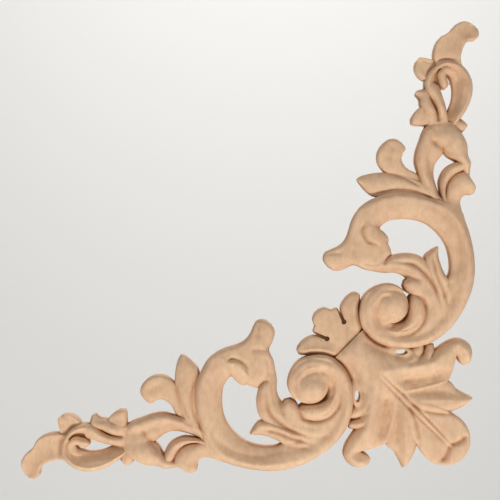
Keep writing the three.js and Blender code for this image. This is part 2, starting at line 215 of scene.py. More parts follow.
def dome(a, b, radius, top, edge):
    """A round boss with its top at one height and its rim at another."""
    rows = []
    for along in DOME_ROWS:
        half = math.sqrt(1 - along * along)
        reach = radius * half
        side = b + radius * along
        rows.append((a - reach, side, a + reach, side, edge + (top - edge) * half**2, half**2))
    fall = top - edge
    return leaf([0, fall, "round", fall, "round"], 0, rows)


def arm_end():
    """The end of an arm: the bent tip leaf and the flared leaf beside it."""
    tip_leaf = leaf(HOLLOW, 1.6, [
        (21, 211, 7, 209, 8),
        (22.7, 218, 8.7, 216.5, 8.5),
        (20.3, 226, 6, 224, 8.5),
        (15, 229.5, 3.5, 225.8, 8.5),
        (12, 233, 0.5, 226.2, 8),
        (7.5, 235.3, -0.9, 228, 7.5),
        (3.5, 234.6, -0.9, 230, 7),
        (1, 233, -0.2, 231.6, 7),
    ])
    flared_leaf = leaf(HOLLOW, 1.2, [
        (23.5, 205, 18.5, 212, 4.5),
        (27.3, 204.8, 22.5, 214.9, 7),
        (30.7, 207.2, 27, 216, 8),
        (32.3, 210.8, 30.3, 216.2, 8),
        (32.2, 213.3, 31.7, 214.7, 7.5),
    ])
    return [tip_leaf, flared_leaf]


def small_ring():
    """The small ring with its raised outer rim, and the drop that hangs inside it."""
    ring = leaf([0.5, 5.5, "cove", 2.6, "round"], 0.9, [
        (19, 178, 12, 180, 7),
        (15.6, 187.5, 8, 185.5, 10),
        (13, 194, 3.8, 193, 10.5),
        (12.4, 200, 2.3, 200, 10.5),
        (13.7, 205.3, 3.4, 206.5, 10.5),
        (16, 207.5, 8.3, 212.8, 10.5),
        (19, 208, 15.5, 214.8, 10.5),
        (20.2, 206.2, 22.5, 211.5, 11),
        (19.7, 203, 26.8, 206, 11),
        (18.9, 199.5, 27.2, 201, 10.6),
        (18, 195.7, 25.2, 197.5, 9.2),
    ])
    leg = leaf([0.4, 3.4, "round", 2.6, "round"], 0.9, [
        (19.3, 202, 26.8, 204, 9.2),
        (18.8, 199, 27.2, 200.3, 10.7),
        (17.2, 194, 24.8, 196, 11),
        (15.6, 188, 21.2, 189.5, 10.5),
        (15, 182, 20, 183, 9),
        (16, 176, 20, 177, 7),
    ])
    drop = leaf([0.2, 3, "round", 1.4, "round"], 1.2, [
        (13.2, 203, 9, 203, 5.2),
        (14, 206.2, 9.8, 209.5, 7.4),
        (16.2, 207, 16.3, 212, 9.5),
        (15.6, 205, 20.6, 208.4, 10.5),
        (14.8, 203, 19.9, 203.9, 10.5),
        (15.2, 201.4, 18.9, 201.5, 10),
        (16.3, 200.3, 17.6, 200.3, 9),
    ])
    return [ring, leg, drop]


def crossing():
    """The strands and lobes where the small ring crosses the stem."""
    strand = leaf(ROUND, 1, [
        (32, 197.4, 31, 199.6, 7.5),
        (30, 195, 26, 200.2, 9),
        (29.6, 192, 23, 193.5, 10.5),
        (27.8, 188, 20.8, 189, 11),
        (26.5, 183.5, 20.1, 183.5, 9.5),
        (27.5, 178.5, 20.8, 179, 7.5),
    ])
    side_lobe = leaf(NEARLY_FLAT, 1.4, [
        (23, 181, 24, 190, 7),
        (29, 181.2, 29, 191, 8.6),
        (32.5, 181.4, 32.1, 188.4, 8.8),
        (34.1, 182, 34.3, 184.8, 8.3),
    ])
    bud = leaf(ROUND, 1.2, [
        (13, 185.2, 13, 176.4, 7.2),
        (8, 184.7, 8, 177.1, 8),
        (6, 183.4, 6.1, 178.7, 7.6),
        (4.8, 182, 4.9, 180.2, 7),
    ])
    return [strand, side_lobe, bud]


def stem_loop():
    """The stem's loop and the two lobes that close it."""
    left_limb = leaf([-0.35, 3.2, "round", 4.2, "round"], 1.2, [
        (25, 182.3, 15, 183.5, 7.5),
        (28, 178.5, 14, 178.5, 11.3),
        (29.8, 173.5, 14.5, 171, 12),
        (31.7, 168, 17.8, 166.2, 11.5),
        (32.3, 162, 21.8, 160.5, 11),
        (31, 157, 22.3, 155, 10.5),
        (29, 150, 21, 149.5, 10),
        (25, 143, 18.5, 144.5, 9),
        (19, 136, 13, 140, 8),
    ])
    right_limb = leaf([0.1, 4.2, "round", 3.6, "round"], 1, [
        (18, 183.5, 9.8, 181.6, 7.5),
        (20.3, 177.5, 7.7, 176.7, 11.8),
        (19.3, 170.5, 5.3, 171, 12.5),
        (15.3, 165, 4.8, 165.5, 12),
        (10.6, 162, 3.2, 161.5, 11.5),
        (8.5, 158.5, 3.4, 158, 10),
        (7, 154, 3.6, 154, 8),
    ])
    crescent = leaf(ROUND, 0.9, [
        (7, 162.3, 4.4, 160, 9),
        (12.3, 161.6, 8, 156.9, 11),
        (16.8, 158.5, 12, 155, 11),
        (19.6, 152.5, 15.3, 151, 11),
        (19.2, 147, 16.2, 146, 10.5),
        (17.5, 140, 15, 140, 9),
    ])
    ball_lobe = leaf(ROUND, 1.2, [
        (17, 134, 7.6, 134, 8),
        (17, 144.8, 8.9, 141, 9.5),
        (16, 151, 8, 143.3, 10.5),
        (12, 156.2, 5.5, 144.8, 11),
        (6, 157, 2.6, 144.9, 11),
        (2.5, 152.5, 1, 146.5, 10),
        (1, 150, 0.6, 148, 9),
    ])
    return [left_limb, right_limb, crescent, ball_lobe]


def scroll_leaves():
    """The two leaves that lie along the top of the main scroll."""
    club_leaf = leaf(NEARLY_FLAT, 1.8, [
        (40, 148, 24, 146, 7),
        (43.5, 153.5, 30, 155, 7.5),
        (49, 157.6, 36.8, 159, 8),
        (51.8, 162, 39.3, 163.2, 8.5),
        (51.8, 167.3, 38.7, 166.4, 9),
        (49.5, 171.3, 37.2, 168.8, 8.5),
        (46.3, 173.8, 38.7, 171.6, 8),
        (43.8, 174.3, 41.4, 173.7, 7.5),
    ])
    long_leaf = leaf([0, 2.4, "round", 2.4, "round"], 1, [
        (22, 146, 15, 139, 8),
        (27, 150.5, 22, 142, 9),
        (34, 153.8, 31, 143.8, 9.5),
        (42, 156, 40.5, 144.8, 9.5),
        (51, 156.5, 48.5, 143.8, 9),
        (57, 155.7, 54.5, 144.3, 8.5),
        (61, 154.5, 58.7, 147.7, 7.5),
        (62.6, 153.2, 61.9, 151.6, 7),
    ])
    return [club_leaf, long_leaf]


def main_scroll():
    """The main scroll: a band from over the volute ball, round it and up to the hooked end."""
    band = leaf([0.5, 4.2, "round", 3, "round"], 1, [
        (39.5, 92.5, 39, 95.6, 13, 0.3),
        (43.3, 93.5, 45.2, 98.6, 14, 0.4),
        (48, 93, 53, 97.1, 14.5, 0.4),
        (51.5, 90.3, 59, 92.3, 14.5, 0.5),
        (52.7, 86, 61.7, 83, 14.5, 0.6),
        (51.3, 81.5, 59.5, 74.5, 14, 0.9),
        (47.6, 79, 51.5, 67, 13, 1.2),
        (42.6, 79, 40, 64.6, 12.5, 1.2),
        (38, 82, 26, 66.7, 12, 1.1),
        (33, 87, 14, 75.5, 12),
        (26, 93, 6, 87.5, 12),
        (19, 98.5, 2, 99, 12),
        (14.2, 104, 1.5, 110, 12),
        (15.2, 116.5, 3.2, 121, 12),
        (19.5, 123.8, 6, 130, 12),
        (26, 129.4, 9.3, 137.5, 12),
        (33, 131.8, 24, 143.3, 12),
        (41, 132.1, 41, 146.2, 12),
        (47, 130.8, 54, 143, 12),
        (50.8, 127.3, 62.4, 136.2, 12),
        (48.6, 125.3, 60.5, 128, 12),
        (46.2, 122, 57, 121.5, 11.5),
        (46.5, 118.5, 52.5, 117.8, 10.5),
    ])
    ball = dome(45.2, 87, 9.1, 17, 12.3)
    knob_sheath = leaf([0.1, 1.6, "round", 2.2, "round"], 2.4, [
        (58, 140, 48, 136, 10),
        (62.4, 136.4, 52, 131.5, 11.6),
        (65.1, 131.9, 51, 126, 11.2),
        (66.7, 126.8, 47, 120.5, 10.8),
        (67.8, 123.4, 44.6, 113, 10.4),
        (69.7, 120.3, 50.5, 105.2, 10.4),
        (72.5, 118, 57.5, 105.4, 10.2),
        (76, 116.4, 64.5, 108, 9.8),
        (79.2, 114.7, 69, 106, 9.4),
        (80.3, 112, 74, 105, 8.8),
        (79.9, 109.8, 77.6, 106.8, 8),
    ])
    return [band, ball, knob_sheath]


def inner_leaf():
    """The leaf inside the main scroll, rooted in the band beside the volute."""
    stem = leaf([-0.1, 3, "round", 3, "round"], 0.9, [
        (54, 111, 58, 105.5, 9),
        (48.5, 112, 49, 104, 10),
        (43, 113.7, 43, 104, 11),
        (37, 114.6, 37.5, 101.8, 11.5),
        (30.5, 113.2, 33.5, 96, 12),
        (25, 108.5, 30, 90, 12),
        (20.5, 101, 27, 83, 12),
        (16.5, 92, 25, 76, 11),
        (14, 84, 24, 71, 9),
    ])
    tip = leaf([-0.3, 2.4, "round", 3.4, "round"], 0.9, [
        (22, 82, 14, 82, 9),
        (23.5, 92, 13.5, 92, 11.5),
        (25, 101, 14.4, 99.5, 12.5),
        (27.3, 109, 17, 103.5, 12),
        (27, 113.3, 19.2, 109, 11),
        (23.5, 116.3, 19.9, 113, 9.5),
        (20.6, 117.9, 19.8, 116.9, 8),
    ])
    round_lobe = leaf(ROUND, 1.2, [
        (26, 82, 21, 90, 11),
        (30.5, 89.5, 26, 98, 12),
        (34.5, 92.6, 31, 101.7, 12.5),
        (37.3, 94.3, 35, 102, 12),
        (38.9, 97, 38, 100.2, 10.5),
    ])
    low_lobe = leaf(ROUND, 1, [
        (52, 77.5, 50, 71.5, 11),
        (45, 75.8, 43, 70.6, 12.3),
        (40, 76.2, 36, 72, 12.6),
        (37.6, 79.8, 30, 76.3, 12.8),
        (37, 85.5, 26.8, 84, 12.8),
        (36.6, 90, 28, 89.8, 12.2),
        (35, 92.6, 31, 92.8, 10.5),
    ])
    return [stem, tip, round_lobe, low_lobe]


def half_corner_leaf():
    """One half of the corner leaf: side curl, two tucked lobes and the pointed lobe."""
    side_curl = leaf([-0.2, 3.4, "round", 2.6, "round"], 1.2, [
        (60, 68, 57, 50, 9),
        (49, 67, 45, 48, 11.8),
        (38, 65.6, 33.5, 46, 12.5),
        (28.5, 62, 23, 46.5, 12),
        (21.8, 64, 16, 46.8, 11.5),
        (17.5, 66.8, 13.5, 51, 11),
        (13, 69.2, 11.6, 57, 10.5),
        (8.5, 69.8, 10.8, 60.3, 10),
        (4.2, 67.2, 9, 57.3, 10),
        (2.3, 62.5, 7, 55.7, 9.5),
        (2.9, 58.5, 4.7, 56.2, 8.5),
    ])
    first_tuck = leaf(ROUND, 0.8, [
        (41, 58, 33, 52, 9),
        (37.5, 61, 29, 56, 10.8),
        (34.5, 64.8, 27, 61, 10.3),
        (31, 66.8, 26.8, 65.8, 8.5),
    ])
    second_tuck = leaf(ROUND, 0.8, [
        (34, 54, 26, 50, 9),
        (30, 59, 23.5, 57, 11),
        (28, 63.2, 22, 62.3, 10.2),
        (27, 67, 22.4, 66.8, 8),
    ])
    pointed_lobe = leaf([0.25, 3, "round", 2.6, "round"], 0.9, [
        (46, 47, 44, 37, 10),
        (33, 47, 34, 34, 12),
        (22, 47.7, 25, 32, 11.5),
        (14.2, 47.4, 15.5, 31.5, 10.8),
        (11, 43.8, 9.8, 33, 10),
        (6, 40.8, 6, 35, 9.3),
        (2.2, 39, 2.5, 37.8, 8),
    ])
    rear_side_lobe = leaf([0, 1.4, "round", 1.4, "round"], 1.4, [
        (70.5, 64, 62, 68, 6.5),
        (69.5, 74, 59.5, 76.5, 8.8),
        (70.8, 81, 60.6, 84, 9),
        (71.2, 86.5, 60.9, 90.2, 9),
        (68.5, 91.2, 61.4, 93, 8.5),
        (65.3, 93.8, 63.3, 94.2, 7.5),
    ])
    return [side_curl, first_tuck, second_tuck, pointed_lobe, rear_side_lobe]


def corner_middle():
    """The parts of the corner leaf that lie across the diagonal."""
    end_lobe = leaf([0, 1, "round", 1, "round"], 2, [
        (48, 56, 56, 48, 9),
        (36, 46, 46, 36, 12.3),
        (24, 37.5, 37.5, 24, 12),
        (12, 30.2, 30.2, 12, 11),
        (7.3, 26.6, 26.6, 7.3, 10.5),
        (4.1, 21, 21, 4.1, 10),
        (3.8, 13.5, 13.5, 3.8, 9.5),
        (6.2, 8.3, 8.3, 6.2, 9),
    ])
    stem = leaf([0, 5.5, "round", 5.5, "round"], 1, [
        (59.4, 74.6, 74.6, 59.4, 11, 0.4),
        (57.6, 73, 73, 57.6, 12, 0.5),
        (53.6, 70.2, 70.2, 53.6, 13, 0.75),
        (47, 67.4, 67.4, 47, 13.5),
        (41, 61, 61, 41, 13.5),
        (36, 52, 52, 36, 12.8),
        (31, 42, 42, 31, 11.6),
        (27, 33, 33, 27, 9.5),
    ])
    rear_centre = leaf(NEARLY_FLAT, 1.4, [
        (73, 60.5, 60.5, 73, 9),
        (76, 66, 66, 76, 9),
        (81, 69.7, 69.7, 81, 9),
        (85.7, 73.2, 73.2, 85.7, 8.5),
        (84.9, 76, 76, 84.9, 8.5),
        (86, 79.5, 79.5, 86, 8),
        (84.9, 82.8, 82.8, 84.9, 7.5),
    ])
    return [end_lobe, stem, rear_centre]


def inner_leaf_grooves():
    """Creases between the strands of the leaf inside the scroll."""
    return [
        (2.3, 1.3, [(44, 110), (33, 108.2), (26.5, 102.5), (22, 95.5), (19.6, 88)]),
        (2.2, 1.3, [(23.4, 113.5), (21.5, 103.5), (18, 95), (15.4, 86)]),
        (1.2, 0.9, [(39, 102.8), (35, 101.9), (29, 100)]),
        (0.7, 1.7, [(27, 99), (24.3, 92), (23.6, 84)]),
        (0.7, 1.7, [(19, 91), (18.6, 84), (19.5, 77)]),
        (0.9, 1.6, [(14.5, 100), (13.8, 95), (13, 86)]),
        (0.5, 0.8, [(52, 106.2), (45, 106.3), (38, 105.6), (34, 104)]),
    ]


def volute_grooves():
    """Creases and rims of the volute, the low lobe and the scroll band that leads to them."""
    lobe_line = [(34.5, 92.4), (29, 91), (26.9, 85), (28.5, 78), (34.5, 72.3), (43, 71)]
    crescent = [(39.5, 96.5), (36, 92), (36.3, 88), (37, 81.5), (39, 79.3), (44, 77.8)]
    return [
        (1.6, 0.9, lobe_line),
        (1.0, 0.8, [(30.3, 82), (31, 79), (33, 76.7), (37, 74.7), (41, 73.8)]),
        (2.6, 1.4, crescent),
        (0.8, 1.1, [(46, 92.4), (50, 91), (52.7, 85), (52, 81.5)]),
        (-0.7, 1.1, [(45, 94.2), (50, 93.3), (55.3, 86.5), (54.8, 81.5)]),
        (2.5, 1.1, [(60, 76.2), (57.3, 71.6), (54, 68.5), (50, 66.3), (45, 64.8)]),
        (1.0, 0.7, [(60, 92), (61.6, 88), (61.5, 84.5), (60, 76.5)]),
        (2.0, 1.9, [(46, 97.8), (53, 96.2), (57.6, 92), (59.6, 87), (59.5, 82), (57.9, 76.8), (54.8, 72)]),
        (-1.1, 1.3, [(62.6, 93), (64.2, 88), (64.4, 82), (63.2, 76.5), (61.6, 72.6)]),
        (1.4, 2.6, [(11, 109), (12.6, 93), (17, 82.5), (24, 75), (32, 71.2), (42, 70.4), (52, 73)]),
        (-0.9, 2.0, [(5.4, 112), (7.2, 90), (13, 78.6), (23, 71), (34, 67.6), (44, 67.6)]),
        (0.8, 2.2, [(12, 100), (9.6, 110), (10.6, 121), (14.6, 130), (22, 137.4), (30, 140)]),
        (-0.8, 1.5, [(5.6, 100), (5, 112), (6.8, 122), (10.8, 131), (17, 138)]),
        (0.8, 2.0, [(54, 82), (51, 78), (46, 75.8), (40, 75.6)]),
    ]


def hook_grooves():
    """The curl of the scroll's hooked end and the creases of its knob."""
    return [
        (1.3, 0.9, [(58.9, 130.4), (60.3, 126.4), (58.8, 122.3), (56.4, 119.9), (52.6, 118.8)]),
        (-0.7, 1.0, [(57.9, 128.5), (58.2, 125.7), (56.2, 121.9), (53, 120.6)]),
        (0.9, 1.5, [(64, 108), (64.6, 112), (64.6, 118)]),
        (0.8, 1.5, [(79, 113.5), (75, 114.2), (70, 114)]),
        (1.2, 0.9, [(49, 108), (47.5, 111), (45, 114)]),
        (0.5, 0.8, [(61, 109.8), (56, 108.2), (50, 108.6)]),
    ]


def upper_arm_grooves():
    """Creases of the leaves on the scroll, of the stem's loop, the small ring and the arm's end."""
    scroll_edge = [(56, 144.5), (50, 146), (43, 147.6), (37, 147.7), (31, 146.3), (21, 141), (17.5, 139.6)]
    return [
        (1.2, 1.0, scroll_edge),
        (1.0, 1.0, [(50, 155.8), (44, 155.3), (38, 153.6), (33, 151), (29, 148.3)]),
        (0.8, 1.1, [(31, 156), (28, 151.5), (25, 147)]),
        (2.0, 1.6, [(24.5, 173.6), (20.5, 170.8), (17, 168.2), (10, 162.5)]),
        (1.1, 0.8, [(5, 156.2), (9, 156.5), (14.5, 152), (16.4, 145.5), (16, 142.5)]),
        (0.6, 0.9, [(20, 149), (18.7, 145.5), (18, 142.5)]),
        (2.0, 1.3, [(24.8, 197), (22.3, 192.5), (20.2, 185.5), (20.1, 182.5)]),
        (0.8, 1.2, [(18.5, 211), (21, 209.3), (22, 206.5), (19.3, 200.8)]),
        (0.5, 1.3, [(26, 180.5), (22, 181.6), (16, 182.4), (10, 181)]),
        (1.0, 1.2, [(29, 214.8), (24, 213.8), (19, 214.8)]),
        (-1.9, 2.0, [(12.5, 182), (10.6, 186.5), (8.6, 193.3), (7.6, 200), (8.2, 205)]),
        (1.9, 3.0, [(22, 183), (22.5, 175), (25, 167), (24.5, 158), (22, 151)]),
        (0.9, 2.4, [(47, 162), (45.6, 167), (43, 170.5)]),
        (1.2, 1.0, [(21.5, 214.8), (16, 215.6), (9.5, 215)]),
    ]


def half_corner_grooves():
    """Creases of one half of the corner leaf."""
    return [
        (-0.9, 0.9, [(41, 42.3), (30, 44.1), (21, 46.4), (14.5, 48.4)]),
        (1.7, 2.4, [(42, 40.5), (35, 41.2), (28, 41.7), (19, 42.2), (10, 40.4)]),
        (-0.8, 2.0, [(34, 36.2), (26, 34.4), (16, 34.6), (5, 38)]),
        (2.2, 2.6, [(42, 47.2), (33, 48.5), (24, 50), (13, 53.5)]),
        (-1.7, 3.0, [(54, 53.5), (44, 53.8), (34, 55), (24, 57.8), (14, 65)]),
        (1.3, 1.0, [(38.5, 38.8), (33, 35), (27, 32.3), (20, 31), (12, 30.8)]),
        (-0.4, 1.2, [(31, 38), (20, 38), (8, 37.8)]),
        (2.3, 1.5, [(5, 19.8), (8, 17), (12, 15), (14.5, 14.2)]),
        (2.2, 2.6, [(60, 69.5), (52, 64.6), (44, 61.6), (37, 61)]),
        (1.4, 1.1, [(27.4, 67.5), (27.8, 64), (28.8, 61), (32, 56.8)]),
        (1.2, 1.1, [(21, 66), (22.2, 62.8), (25, 58.8)]),
        (1.1, 1.8, [(44, 61.8), (40, 59.8), (35.6, 60.4), (33.4, 64.5)]),
        (0.7, 1.2, [(38, 57.2), (34, 57.6), (31, 60.4), (30, 64)]),
        (-0.8, 1.5, [(8.4, 66), (5.6, 62.4), (6, 58.6)]),
        (0.8, 2.6, [(27.5, 33), (21.5, 26), (16, 19)]),
    ]


def corner_middle_grooves():
    """The two sides of the corner leaf's midrib and the line across its rear."""
    one_side = [(51, 52.6), (42, 43.8), (36, 38.2), (31, 33.2), (21, 22.7), (12.8, 14.2)]
    other_side = [(b, a) for a, b in one_side]
    return [
        (1.3, 0.8, one_side),
        (1.3, 0.8, other_side),
        (0.65, 1.0, [(59.6, 73.9), (66.9, 66.9), (73.9, 59.6)]),
    ]


def arm_merges():
    """Where forms of one arm grow together: centre, reach and share of softening."""
    return [
        (19, 177, 8, 1.0),
        (12, 139, 9, 1.0),
        (51, 85, 7, 1.0),
        (49, 79, 6, 1.0),
        (49, 91, 5, 1.0),
        (19, 182.5, 8, 0.9),
        (26.5, 185, 4, 0.7),
        (58, 134, 7, 1.0),
        (27, 148, 6, 0.7),
        (19, 86, 9, 1.0),
        (29, 96, 5, 0.7),
    ]


def corner_merges():
    """Where the corner leaf's forms grow together."""
    one_side = [
        (50, 42, 8, 1.0),
        (45, 36, 6, 1.0),
        (46, 29, 6, 1.0),
        (48, 22, 6, 1.0),
        (60, 38, 6, 0.8),
    ]
    merges = [(42, 42, 9, 1.0)]
    for a, b, reach, share in one_side:
        merges.append((a, b, reach, share))
        merges.append((b, a, reach, share))
    return merges


def drifted(along, across):
    """Where a point of the side arm lies, given as its distance along the arm and across it."""
    share = max(0.0, (along - DRIFT_START) / DRIFT_SPAN)
    return along + DRIFT_LONGER * share, across - DRIFT_DROOP * share


def flipped(point, drifts):
    """A point carried over the diagonal from the upright arm to the side arm."""
    if drifts:
        return drifted(point[1], point[0])
    return point[1], point[0]


def mirrored(element, drifts):
    """An element carried over the diagonal."""
    section, edge_radius, rows = element
    carried = []
    for row in rows:
        carried.append((*flipped(row[:2], drifts), *flipped(row[2:4], drifts), *row[4:]))
    return leaf(section, edge_radius, carried)


def all_elements():
    """Every element of the applique."""
    arm = arm_end() + small_ring() + crossing() + stem_loop() + scroll_leaves() + main_scroll()
    arm += inner_leaf()
    half = half_corner_leaf()
    elements = arm + half + corner_middle()
    elements += [mirrored(element, True) for element in arm]
    elements += [mirrored(element, False) for element in half]
    return elements


def all_grooves():
    """Every crease of the applique, in plan: depth, width and points."""
    arm = inner_leaf_grooves() + volute_grooves() + hook_grooves() + upper_arm_grooves()
    half = half_corner_grooves()
    grooves = arm + half + corner_middle_grooves()
    for group, drifts in ((arm, True), (half, False)):
        for depth, width, points in group:
            grooves.append((depth, width, [flipped(point, drifts) for point in points]))
    return grooves


def all_merges():
    """Every place where forms grow together softly."""
    merges = arm_merges() + corner_merges()
    for a, b, reach, share in arm_merges():
        merges.append((*flipped((a, b), True), reach, share))
    return merges


def fall_at(kind, share):
    """How much of a section's fall is reached at a share of the way from ridge to edge."""
    if kind == "cove":
        return 1 - (1 - share) ** 2
    return share**2


def section_drop(section, places):
    """The fall below the ridge at each place across."""
    ridge, first_fall, first_kind, second_fall, second_kind = section
    before = first_fall * fall_at(first_kind, (ridge - places) / (ridge + 1))
    after = second_fall * fall_at(second_kind, (places - ridge) / (1 - ridge))
    return np.where(places < ridge, before, after)


def catmull_rom(points, alongs):
    """Places on a centripetal Catmull-Rom curve, by point number."""
    ends = [2 * points[0] - points[1]], [2 * points[-1] - points[-2]]
    padded = np.vstack([ends[0], points, ends[1]])
    index = np.minimum(alongs.astype(int), len(points) - 2)
    share = (alongs - index)[:, None]
    p0, p1, p2, p3 = (padded[index + k] for k in range(4))
    steps = []
    for start, stop in ((p0, p1), (p1, p2), (p2, p3)):
        steps.append(np.sqrt(np.linalg.norm(stop - start, axis=1))[:, None])
    s0, s1, s2 = steps
    leave = ((p1 - p0) / s0 - (p2 - p0) / (s0 + s1) + (p2 - p1) / s1) * s1
    reach = ((p2 - p1) / s1 - (p3 - p1) / (s1 + s2) + (p3 - p2) / s2) * s1
    cubic = 2 * p1 - 2 * p2 + leave + reach
    square = -3 * p1 + 3 * p2 - 2 * leave - reach
    return ((cubic * share + square) * share + leave) * share + p1


def station_numbers(rows):
    """Evenly stepped places along an element, by row number."""
    numbers = [0.0]
    for i in range(len(rows) - 1):
        first = np.hypot(*(rows[i + 1, 0:2] - rows[i, 0:2]))
        second = np.hypot(*(rows[i + 1, 2:4] - rows[i, 2:4]))
        pieces = max(1, round(max(first, second) / STEP_ALONG))
        numbers += [i + j / pieces for j in range(1, pieces + 1)]
    return np.array(numbers)


def across_places(width):
    """Places across an element from -1 to 1, closer together towards its edges."""
    count = max(FEWEST_ACROSS, 2 * round(width / STEP_ACROSS / 2) + 1)
    even = np.linspace(-1, 1, count)
    return (1 - EDGE_CROWDING) * even + EDGE_CROWDING * np.sin(even * math.pi / 2)


def edge_rounding(radius, width, places, to_end):
    """How much the rounded edge takes off, from the distance to the nearest edge."""
    inside = (1 - np.abs(places))[None, :] * width[:, None] / 2
    inside = np.minimum(inside, to_end[:, None])
    radii = np.minimum(radius, width / 2)[:, None]
    short = np.clip(radii - inside, 0, radii)
    return radii - np.sqrt(radii**2 - short**2)


def element_grid(element):
    """The element's carved surface as a grid of drawn points: left, up and height."""
    section, edge_radius, rows = element
    plain = np.array([row[:5] for row in rows], float)
    numbers = station_numbers(plain)
    first = catmull_rom(plain[:, [0, 1, 4]], numbers)
    second = catmull_rom(plain[:, [2, 3, 4]], numbers)
    falls = [row[5] if len(row) > 5 else 1.0 for row in rows]
    share = np.interp(numbers, range(len(rows)), falls)
    width = np.hypot(*(second - first)[:, :2].T)
    places = across_places(width.max())
    mix = ((places + 1) / 2)[None, :, None]
    grid = first[:, None] * (1 - mix) + second[:, None] * mix
    middle = (first + second)[:, :2] / 2
    steps = np.hypot(*np.diff(middle, axis=0).T)
    to_end = np.append(np.cumsum(steps[::-1])[::-1], 0.0)
    grid[..., 2] -= section_drop(section, places)[None, :] * share[:, None]
    grid[..., 2] -= edge_rounding(edge_radius, width, places, to_end)
    return grid


def placed(points):
    """Drawn points in the object's frame, in metres."""
    points = np.asarray(points, float)
    placed_points = np.empty_like(points)
    placed_points[:, 0] = (ORIGIN_INSET - points[:, 0]) * SCALE
    placed_points[:, 1] = -points[:, 2] * DEPTH_SCALE
    placed_points[:, 2] = (points[:, 1] - ORIGIN_INSET) * SCALE
    return placed_points


def drawn(points):
    """Points of the object's frame as drawn points."""
    drawn_points = np.empty_like(points)
    drawn_points[:, 0] = ORIGIN_INSET - points[:, 0] / SCALE
    drawn_points[:, 1] = ORIGIN_INSET + points[:, 2] / SCALE
    drawn_points[:, 2] = -points[:, 1] / DEPTH_SCALE
    return drawn_points


def tube_mesh(name, rings):
    """A closed mesh from rings of points, with the ends capped and its faces outwards."""
    around = rings.shape[1]
    faces = []
    for i in range(len(rings) - 1):
        for j in range(around):
            here = i * around + j
            beside = i * around + (j + 1) % around
            faces.append((here, beside, beside + around, here + around))
    last = (len(rings) - 1) * around
    faces.append(tuple(range(around))[::-1])
    faces.append(tuple(range(last, last + around)))
    mesh = bpy.data.meshes.new(name)
    mesh.from_pydata(placed(rings.reshape(-1, 3)), [], faces)
    if signed_volume(mesh) < 0:
        mesh.flip_normals()
    return mesh


def signed_volume(mesh):
    """Six times the volume, below zero where the faces point inwards."""
    mesh.calc_loop_triangles()
    corners = np.empty(len(mesh.loop_triangles) * 3, int)
    mesh.loop_triangles.foreach_get("vertices", corners)
    points = vertex_points(mesh)[corners].reshape(-1, 3, 3)
    return np.einsum("ij,ij->i", points[:, 0], np.cross(points[:, 1], points[:, 2])).sum()


def vertex_points(mesh):
    """A mesh's vertices as an array."""
    points = np.empty(len(mesh.vertices) * 3)
    mesh.vertices.foreach_get("co", points)
    return points.reshape(-1, 3)


def element_mesh(element):
    """One element's closed mesh, down past the back."""
    grid = element_grid(element)
    under = grid[:, [-1, 0]].copy()
    under[..., 2] = -BACK_OVERRUN
    return tube_mesh("element", np.concatenate([grid, under], axis=1))


def prism_mesh(outline, low, high):
    """A closed prism on a plan outline between two heights."""
    rings = np.empty((2, len(outline), 3))
    rings[:, :, :2] = outline
    rings[0, :, 2] = low
    rings[1, :, 2] = high
    return tube_mesh("cutter", rings)


def oval(centre, radii):
    """A plan outline of an oval."""
    turns = np.arange(OVAL_SIDES) * 2 * math.pi / OVAL_SIDES
    return np.stack([centre[0] + radii[0] * np.cos(turns), centre[1] + radii[1] * np.sin(turns)], 1)


def slit_outline(ends):
    """A plan outline of the straight slit between two points."""
    start, stop = (np.array(end) for end in ends)
    way = (stop - start) / np.linalg.norm(stop - start)
    side = np.array([-way[1], way[0]]) * SLIT_WIDTH / 2
    return np.array([start + side, stop + side, stop - side, start - side])


def cutter_meshes():
    """What is cut away: all behind the back, the two slits and the two small holes."""
    square = [(-1, -1), (1, -1), (1, 1), (-1, 1)]
    cutters = [prism_mesh(np.array(square) * CUT_REACH, -CUT_HEIGHT, 0)]
    for flips in (False, True):
        ends = [flipped(end, False) if flips else end for end in SLIT_ENDS]
        centre = flipped(GAP_CENTRE, False) if flips else GAP_CENTRE
        size = flipped(GAP_SIZE, False) if flips else GAP_SIZE
        slit_end = oval(ends[1], (SLIT_END_RADIUS, SLIT_END_RADIUS))
        cutters.append(prism_mesh(slit_outline(ends), SLIT_FLOOR, CUT_HEIGHT))
        cutters.append(prism_mesh(slit_end, SLIT_FLOOR, CUT_HEIGHT))
        cutters.append(prism_mesh(oval(centre, size), -CUT_HEIGHT, CUT_HEIGHT))
    return cutters


def add_boolean(target, operation, meshes):
    """Joins meshes to a target or cuts them from it, by a collection that isn't kept."""
    operands = bpy.data.collections.new(operation)
    for mesh in meshes:
        operands.objects.link(bpy.data.objects.new("operand", mesh))
    modifier = target.modifiers.new(operation, "BOOLEAN")
    modifier.operation = operation
    modifier.solver = "MANIFOLD"
    modifier.operand_type = "COLLECTION"
    modifier.collection = operands
    return operands


def carved_mesh():
    """All elements joined and the openings cut, as one closed mesh."""
    meshes = [element_mesh(element) for element in all_elements()]
    target = bpy.data.objects.new("target", meshes[0])
    bpy.context.scene.collection.objects.link(target)
    groups = [add_boolean(target, "UNION", meshes[1:])]
    groups.append(add_boolean(target, "DIFFERENCE", cutter_meshes()))
    graph = bpy.context.evaluated_depsgraph_get()
    mesh = bpy.data.meshes.new_from_object(target.evaluated_get(graph))
    bpy.data.objects.remove(target)
    for group in groups:
        for operand in list(group.objects):
            bpy.data.objects.remove(operand)
        bpy.data.collections.remove(group)
    return mesh


def groove_line(points):
    """A crease's line as close plan points."""
    numbers = np.linspace(0, len(points) - 1, CREASE_STEPS * (len(points) - 1) + 1)
    line = np.array(points, float)
    if len(points) > 2:
        return catmull_rom(line, numbers)
    return line[0] + (line[1] - line[0]) * numbers[:, None]


